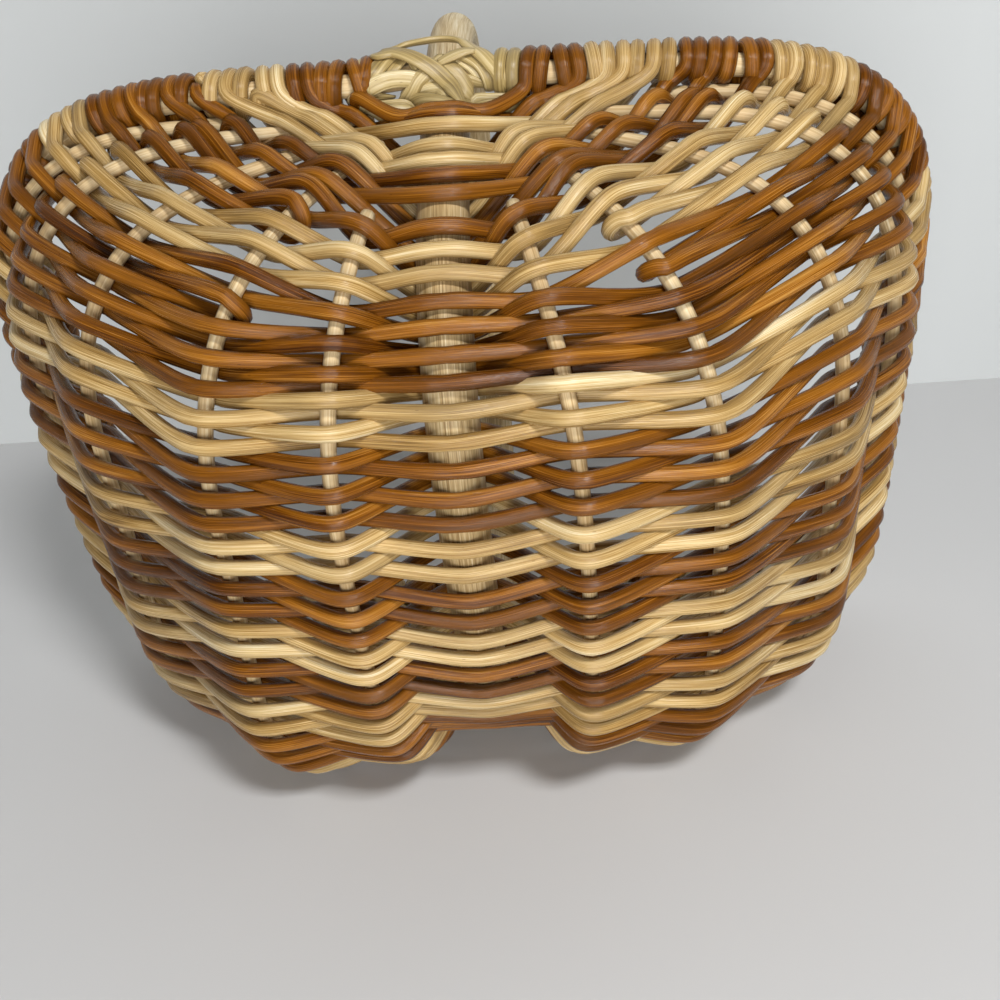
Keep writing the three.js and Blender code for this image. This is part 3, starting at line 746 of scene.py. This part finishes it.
def makeRibbon(name, runs, widths, thicknesses):
    vertices, faces, maps = [], [], []
    sides = lashing["sides"]
    for number, ((points, facing, closed), width, thickness) in enumerate(zip(runs, widths, thicknesses)):
        first = len(vertices)
        count = len(points)
        ahead = np.roll(points, -1, axis=0)
        behind = np.roll(points, 1, axis=0)
        if not closed:
            ahead[-1], behind[0] = points[-1], points[0]
        along = (ahead - behind) / np.linalg.norm(ahead - behind, axis=1)[:, None]
        facing = facing - along * np.sum(facing * along, axis=1)[:, None]
        facing = facing / np.linalg.norm(facing, axis=1)[:, None]
        across = np.cross(along, facing)
        length = lengthsAlong(np.vstack([points, points[:1]])) * mm + mapStep["cane"] * number
        for i in range(count):
            fromEnd = 1 if closed else min(min(i, count - 1 - i) / lashing["endTaper"], 1)
            thin, slim = (tip + (1 - tip) * fromEnd for tip in lashing["tip"])
            for j in range(sides):
                angle = 2 * math.pi * j / sides
                a = fuller(math.cos(angle), lashing["edge"][0]) * thickness / 2 * thin
                b = fuller(math.sin(angle), lashing["edge"][1]) * width / 2 * slim
                vertices.append((points[i] + facing[i] * a + across[i] * b) * mm)
        for i in range(count if closed else count - 1):
            for j in range(sides):
                a, b = first + i * sides + j, first + i * sides + (j + 1) % sides
                after = first + ((i + 1) % count) * sides
                faces.append((a, b, after + (j + 1) % sides, after + j))
                u0, u1, v0, v1 = length[i], length[i + 1], j / sides, (j + 1) / sides
                maps += [(u0, v0), (u0, v1), (u1, v1), (u1, v0)]
        if not closed:
            faces.append(tuple(first + j for j in range(sides))[::-1])
            faces.append(tuple(first + (count - 1) * sides + j for j in range(sides)))
            maps += [(length[0], 0.5)] * sides + [(length[count - 1], 0.5)] * sides
    mesh = bpy.data.meshes.new(name)
    mesh.from_pydata(vertices, [], faces)
    layer = mesh.uv_layers.new(name="UVMap")
    layer.data.foreach_set("uv", np.array(maps).ravel())
    piece = bpy.data.objects.new(name, mesh)
    bpy.context.scene.collection.objects.link(piece)
    selectOnly(piece)
    bpy.ops.object.shade_smooth()
    return piece


# The front lashing, strand by strand: width and the points it runs through.
lashingStrands = {
    "main": (4.6, ((-17.5, -133, 153), (-20.5, -138, 155.2), (-22, -143.2, 152.6), (-20.1, -146.5, 147.6),
        (-16.4, -146.7, 148.3), (-12.1, -146.3, 147), (-7.5, -144.9, 145.1), (-3.4, -142.8, 143.5),
        (0.1, -140.3, 141.6), (2.9, -138.1, 138.8), (5, -137.2, 133.5), (6.5, -136.5, 129.7))),
    "backLeft": (5.2, ((-31, -131, 143), (-27, -131.5, 139.5), (-20, -132, 138.5), (-13, -131.5, 138.2),
        (-8, -129, 139))),
    "backLeftLow": (5.2, ((-27, -129.5, 141), (-21, -131, 134.5), (-14, -131.6, 133.6), (-8, -130, 134),
        (-6, -127, 136))),
    "backFar": (6, ((-28, -130.5, 147), (-21, -130, 141), (-14, -128.5, 140.5), (-8, -125.5, 143))),
    "backRight": (5.2, ((7, -128, 139), (11, -131, 138.4), (17, -131.6, 138), (24, -131, 139.5),
        (27, -130.5, 144))),
    "backRightLow": (5.2, ((6, -127, 133), (10, -130, 133), (16, -131.2, 133), (23, -131, 135),
        (28, -130, 141))),
    "over": (4.4, ((-19.3, -137.1, 154.5), (-19.4, -139.9, 154.4), (-18.6, -142.6, 153.3),
        (-16.8, -145.3, 152.7), (-14.6, -145.7, 153.4), (-12, -146.4, 154), (-6, -146, 156.6),
        (0, -145.8, 157.8), (5, -145.6, 157), (8, -145.3, 155), (10.3, -144.8, 151.6),
        (14.5, -144.2, 146.2), (17.3, -142.5, 142.9), (19.7, -140.1, 140.5), (20.5, -137.1, 139.7),
        (20.8, -134.3, 140.9), (20.9, -132.3, 143), (20.9, -131.4, 145.8))),
    "frayed": (3.6, ((12.1, -145.6, 147), (9.1, -145.5, 147.2), (5.7, -145, 146.6), (2.2, -144.2, 145.7),
        (-0.6, -143.4, 144.9))),
    "beside": (4.4, ((-0.9, -143, 145.9), (1.5, -141.9, 144.9), (4.4, -140.2, 143.7), (6.5, -138.1, 142.8),
        (8, -135.2, 141.8), (9.2, -132.8, 141), (11.1, -130.1, 142.5))),
    "arc": (3.2, ((3.4, -139.9, 155.2), (4, -142.1, 153.6), (5, -143.2, 151.1), (6.8, -143.3, 148.6),
        (9.7, -142.7, 147), (12.6, -141.6, 145), (14.6, -139.6, 143.3), (15.6, -137, 142.5),
        (16, -133.7, 143.5), (16.1, -132.2, 146), (16.1, -131.9, 148.8), (15.9, -133, 151.4))),
    "inner": (3.6, ((3.3, -139.5, 154.1), (4, -141.3, 152.3), (5.3, -141.9, 149.9), (7.4, -141.5, 147.6),
        (9.9, -140.7, 146.4), (12, -139.2, 145.1), (13.2, -136.7, 144.4), (13.9, -134.4, 145.8),
        (14.1, -133.3, 148.2), (14, -133.8, 150.8))),
    "level": (4.0, ((-3.7, -134.2, 146.2), (-0.9, -135.4, 145.3), (2.1, -136.7, 145), (5.3, -137.3, 144.6),
        (8.3, -136.7, 144.3), (11.6, -135.8, 143.9), (15.9, -134.8, 143.2))),
    "leftArm": (4.6, ((-16.5, -139, 154.6), (-16.9, -141.6, 153.4), (-17.2, -143.6, 151.2),
        (-18, -144.5, 148.5), (-20.4, -144, 144.9), (-23.1, -142.4, 142.1), (-25.5, -140, 140.5),
        (-27.5, -136.4, 140), (-28.7, -134, 141.4), (-29.6, -132.3, 143.6), (-30.3, -131.7, 146.3))),
    "leftArmTwo": (4.2, ((-12.2, -137.8, 154.3), (-12.6, -140.4, 153.6), (-13, -142.3, 151.6),
        (-13.9, -143.1, 148.9), (-16.4, -142.3, 145.9), (-18.9, -140.8, 143.4), (-21.6, -139.1, 141.7),
        (-24, -137.2, 141.9), (-25.9, -135.1, 142.9), (-27.1, -133.6, 145))),
    "cross": (4.6, ((-31.9, -131.5, 145.2), (-31, -132.6, 142.6), (-29.7, -134.5, 140.7),
        (-27.7, -136.6, 139.6), (-24.3, -138.7, 139.7), (-20.3, -140.1, 140.3), (-16.1, -140.2, 141.7),
        (-11.9, -139.6, 142.6), (-8.2, -138.5, 143), (-5.4, -136.8, 143.2), (-3.1, -135.2, 142.1),
        (-1.5, -136.6, 144.4))),
    "stub": (4.6, ((-32.5, -133.4, 150.2), (-31.7, -132, 148), (-30.7, -131.7, 145.3), (-29, -132.5, 142.9),
        (-25.7, -133.7, 141.9), (-21.3, -133.8, 141.9), (-17.3, -132.6, 144.1))),
    "white": (4.2, ((0.1, -143.8, 149.7), (-1, -143.2, 147), (-3, -141.9, 145), (-5.4, -140.6, 143.4),
        (-8.2, -138.6, 142.4), (-10.5, -135.4, 141.8), (-13.2, -131.9, 142.9), (-16.3, -128.6, 143.9))),
    "low": (4.2, ((-12.6, -132.8, 153.4), (-12.8, -131.2, 151.1), (-12.8, -130.6, 148.3),
        (-12.3, -131, 145.5), (-8.7, -134.7, 143), (-4.2, -135.8, 141.8), (-0.7, -135.9, 140.1),
        (2.3, -135.7, 135.1), (4.6, -134.4, 136.8), (5.8, -133.2, 139.6), (6.4, -132.2, 142.7))),
    "lowTwo": (3.8, ((-14.4, -128.6, 145), (-9.8, -132.5, 140.7), (-4.9, -135.7, 134.9),
        (-0.4, -136.7, 131.3), (3.7, -136.1, 129.5), (8.1, -133.7, 132.3), (9, -132, 134.9),
        (9.4, -130.6, 137.7), (9.6, -129.3, 140.7))),
    "under": (4.6, ((-9.8, -139.9, 153.6), (-9.4, -141.7, 151.7), (-8.6, -142.2, 149.1),
        (-7.2, -141.3, 146.8), (-4.9, -138.2, 145.4), (-3.6, -134.9, 144.5), (-1.7, -134.2, 138.4),
        (-1, -133.7, 141.5), (-0.8, -133.6, 144.8), (-1.2, -134.6, 147.2))),
    "underTwo": (4.6, ((6.1, -139.9, 153.8), (6.1, -141.6, 151.8), (5.8, -141.9, 149.2),
        (4.8, -140.7, 146.8), (2.8, -137.5, 145.6), (0.8, -134.7, 144.1), (-1.8, -134, 137.9),
        (-4.2, -132.6, 139.2), (-5.5, -131.2, 141.8), (-6.1, -129.8, 144.6))),
}
# Round turns beside each lashing: millimetres from the crossing, to the right.
rimWraps = {"front": (20.6, 25.0, -26.6), "back": (-26.5, -21.8, 21.8, 26.5)}


def crossingFacing(point):
    pole = np.array([0, -hoops["poleHalfLength"], point[2]])
    bar = np.array([point[0], -hoops["rimHalfLength"], hoops["rimHeight"] - 3])
    toPole, toBar = point - pole, point - bar
    nearPole = max(np.linalg.norm(toPole) - hoops["poleRadius"], 0.3)
    nearBar = max(np.linalg.norm(toBar) - hoops["rimRadius"], 0.3)
    return unit(unit(toPole) / nearPole ** 2 + unit(toBar) / nearBar ** 2)


def lashingStrand(points, mirror):
    line, _ = smoothPath(points, lashing["spacing"])
    facing = np.array([crossingFacing(p) for p in line])
    for _ in range(lashing["rounding"]):
        facing[1:-1] = (facing[:-2] + 2 * facing[1:-1] + facing[2:]) / 4
    if mirror:      # the same strands turned to the back
        line, facing = line * (-1, -1, 1), facing * (-1, -1, 1)
    return line, facing, False


def wrapTurn(x, end):
    k = rim if x > 0 else -rim
    s = abs(x) if end < 0 else curveLength[k] - abs(x)
    centre, along = at(k, s), tangent(k, s)
    up = unit(np.array([0, 0, 1.0]) - along * along[2])
    out = np.cross(along, up)
    turns = np.linspace(0, 2 * math.pi, lashing["turnSteps"], endpoint=False)
    facing = np.array([out * math.cos(turn) + up * math.sin(turn) for turn in turns])
    reach = hoops["rimRadius"] + lashing["turnSize"] / 2 - lashing["turnPress"]
    return centre + facing * reach, facing, True


for end, word in ((-1, "front"), (1, "back")):
    runs, widths, thicknesses = [], [], []
    for width, points in lashingStrands.values():
        runs.append(lashingStrand(points, end > 0))
        widths.append(width * lashing["broader"])
        thicknesses.append(lashing["thickness"])
    for x in rimWraps[word]:
        runs.append(wrapTurn(x, end))
        widths.append(lashing["turnSize"])
        thicknesses.append(lashing["turnSize"])
    piece = makeRibbon(f"{word}Lashing", runs, widths, thicknesses)
    finishPiece(piece, materials["flatCane"], f"lashing_{word}")
print("stage: lashings done")


# The floor that the basket's back end stands on in the photograph, and the wall behind it. Both
# are clear from behind, so that they never stand before the basket in another view.
stageSetup = {
    "lean": 13.5, "gap": 0.4 * mm, "wallAt": (0, 0.200, 0.366), "half": 2.4,
    "floorTone": "d8d8d8", "wallTone": "cdd0d0", "shade": 0.93,
}


def stageMaterial(name, tone):
    material, tree, shader = startMaterial(name)
    output = next(node for node in tree.nodes if node.type == "OUTPUT_MATERIAL")
    shader.inputs["Roughness"].default_value = 0.75
    place = tree.nodes.new("ShaderNodeTexCoord")
    clouds = noiseNode(tree, place.outputs["Object"], 2.2, 2)
    darker = tuple(stageSetup["shade"] * c for c in linear(tone))
    colour = rampNode(tree, clouds, [(0.3, darker), (0.7, linear(tone))])
    tree.links.new(colour, shader.inputs["Base Color"])
    clear = tree.nodes.new("ShaderNodeBsdfTransparent")
    side = tree.nodes.new("ShaderNodeNewGeometry")
    mix = tree.nodes.new("ShaderNodeMixShader")
    tree.links.new(side.outputs["Backfacing"], mix.inputs[0])
    tree.links.new(shader.outputs[0], mix.inputs[1])
    tree.links.new(clear.outputs[0], mix.inputs[2])
    tree.links.new(mix.outputs[0], output.inputs[0])
    return material


def addStage(setup):
    lean = math.radians(setup["lean"])
    into = Vector((0, math.cos(lean), -math.sin(lean)))      # from the basket into the floor
    level = Vector((0, math.sin(lean), math.cos(lean)))      # along the floor, away from the camera
    depth = max((Vector(corner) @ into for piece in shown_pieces() for corner in
                 (piece.matrix_world @ v.co for v in piece.data.vertices)), default=0)
    depth += setup["gap"]
    edge = Vector(setup["wallAt"])
    edge += into * (depth - edge @ into)
    left, right = edge - Vector((setup["half"], 0, 0)), edge + Vector((setup["half"], 0, 0))
    near, up = -level * setup["half"] * 1.5, -into * setup["half"]
    for name, tone, corners in (
        ("floorPlane", setup["floorTone"], [left + near, right + near, right, left]),
        ("wallPlane", setup["wallTone"], [left, right, right + up, left + up]),
    ):
        mesh = bpy.data.meshes.new(name)
        mesh.from_pydata([tuple(c) for c in corners], [], [(0, 1, 2, 3)])
        plane = bpy.data.objects.new(name, mesh)
        bpy.context.scene.collection.objects.link(plane)
        facing = mesh.polygons[0].normal
        centre = sum(corners, Vector()) / 4
        if facing @ (Vector((0, 0, 0.1)) - centre) < 0:
            mesh.flip_normals()
        plane.data.materials.append(stageMaterial(name + "Finish", tone))
        plane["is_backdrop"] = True
    return into, level


into, level = addStage(stageSetup)

# Lamps, placed in metres from the middle of the basket: above the floor, towards the camera, to the right.
basketMiddle = Vector((0, 0, 0.11))
lamps = {
    "windowLight": {"above": 0.95, "toCamera": 0.75, "right": 0.32, "size": (0.2, 0.15), "watts": 11},
    "roomLight": {"above": 0.25, "toCamera": 1.45, "right": 0.05, "size": (0.9, 0.75), "watts": 16},
}
room = {"tone": (0.9, 0.89, 0.87, 1), "strength": 0.05}

for name, setup in lamps.items():
    data = bpy.data.lights.new(name, "AREA")
    data.shape = "RECTANGLE"
    data.size, data.size_y = setup["size"]
    data.energy = setup["watts"]
    lamp = bpy.data.objects.new(name, data)
    bpy.context.scene.collection.objects.link(lamp)
    place = basketMiddle - into * setup["above"] - level * setup["toCamera"]
    lamp.location = place + Vector((setup["right"], 0, 0))
    lamp.rotation_mode = "QUATERNION"
    lamp.rotation_quaternion = (basketMiddle - lamp.location).to_track_quat("-Z", "Y")

world = bpy.data.worlds.new("room")
bpy.context.scene.world = world
world.use_nodes = True
world.node_tree.nodes["Background"].inputs["Color"].default_value = room["tone"]
world.node_tree.nodes["Background"].inputs["Strength"].default_value = room["strength"]

bpy.context.scene.view_settings.view_transform = "Standard"
